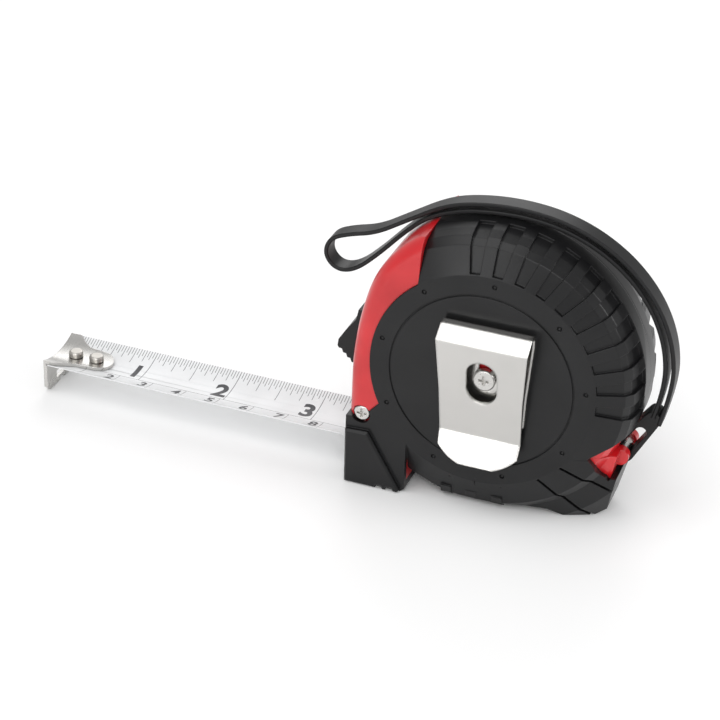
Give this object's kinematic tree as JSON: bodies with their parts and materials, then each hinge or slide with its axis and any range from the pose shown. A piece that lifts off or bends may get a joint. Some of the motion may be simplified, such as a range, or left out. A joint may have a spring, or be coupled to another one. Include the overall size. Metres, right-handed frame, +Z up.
{
  "type": "tape measure",
  "caption": "Pocket tape measure with a rubber-jacketed case, part-drawn blade, sliding end hook, thumb lock, belt clip and wrist strap.",
  "frame": {"origin": "on the floor under the mouth: middle of the flat bottom of the front foot, mid-width of the case", "axes": "+Z up, the blade leaves towards -X and its length lies along X, the belt clip is on the -Y side"},
  "size_m": [0.1725, 0.0393, 0.0805],
  "materials": {
    "shell_red": "gloss",
    "jacket_rubber": "matt",
    "blade_paint": "satin",
    "inner_plastic": "matt",
    "spring_steel": "blued",
    "hook_steel": "satin",
    "rivet_steel": "satin",
    "lock_plastic": "matt",
    "bumper_rubber": "matt",
    "screw_steel": "bright",
    "clip_steel": "brushed",
    "strap_rubber": "satin"
  },
  "bodies": {
    "case": {"case_shell_clip_side": "shell_red", "case_shell_far_side": "shell_red", "jacket_clip_side": "jacket_rubber", "jacket_far_side": "jacket_rubber", "blade_lead": "blade_paint", "spring_arbor": "inner_plastic", "power_spring": "spring_steel", "brake_pin": "screw_steel", "mouth_guide": "inner_plastic", "mouth_bumper": "bumper_rubber", "mouth_screw": "screw_steel", "case_screws": "screw_steel", "belt_clip": "clip_steel", "clip_screw": "screw_steel", "strap_bar": "screw_steel"},
    "blade": {"blade_extended": "blade_paint", "hook_rivets": "rivet_steel"},
    "end_hook": {"hook": "hook_steel"},
    "spool": {"spool_hub": "inner_plastic", "spool_disc_clip_side": "inner_plastic", "spool_disc_far_side": "inner_plastic", "blade_coil": "blade_paint"},
    "lock": {"lock_button": "lock_plastic"},
    "brake": {"brake_lever": "inner_plastic"},
    "strap": {"wrist_strap": "strap_rubber", "strap_anchor": "strap_rubber"}
  },
  "joints": [
    {"name": "blade_slide", "type": "slide", "parent": "case", "child": "blade", "axis": [1, 0, 0], "range_m": [0, 0.0875], "deforming": ["blade_extended"]},
    {"name": "hook_float", "type": "slide", "parent": "blade", "child": "end_hook", "axis": [-1, 0, 0], "range_m": [0, 0.0008]},
    {"name": "spool_spin", "type": "hinge", "parent": "case", "child": "spool", "pos_m": [0.029, 0, 0.0396], "axis": [0, 1, 0], "range_deg": [-185, 0]},
    {"name": "lock_slide", "type": "slide", "parent": "case", "child": "lock", "axis": [0.0872, 0, 0.9962], "range_m": [0, 0.006]},
    {"name": "brake_turn", "type": "hinge", "parent": "case", "child": "brake", "pos_m": [0.0046, 0, 0.016], "axis": [0, 1, 0], "range_deg": [0, 6.2]},
    {"name": "strap_swing", "type": "hinge", "parent": "case", "child": "strap", "pos_m": [0.0623, 0, 0.0188], "axis": [0, 1, 0], "range_deg": [0, 95]}
  ],
  "couplings": [
    {"joint": "spool_spin", "follows": "blade_slide", "rad_per_m": -35.714},
    {"joint": "brake_turn", "follows": "lock_slide", "rad_per_m": 17.5}
  ]
}
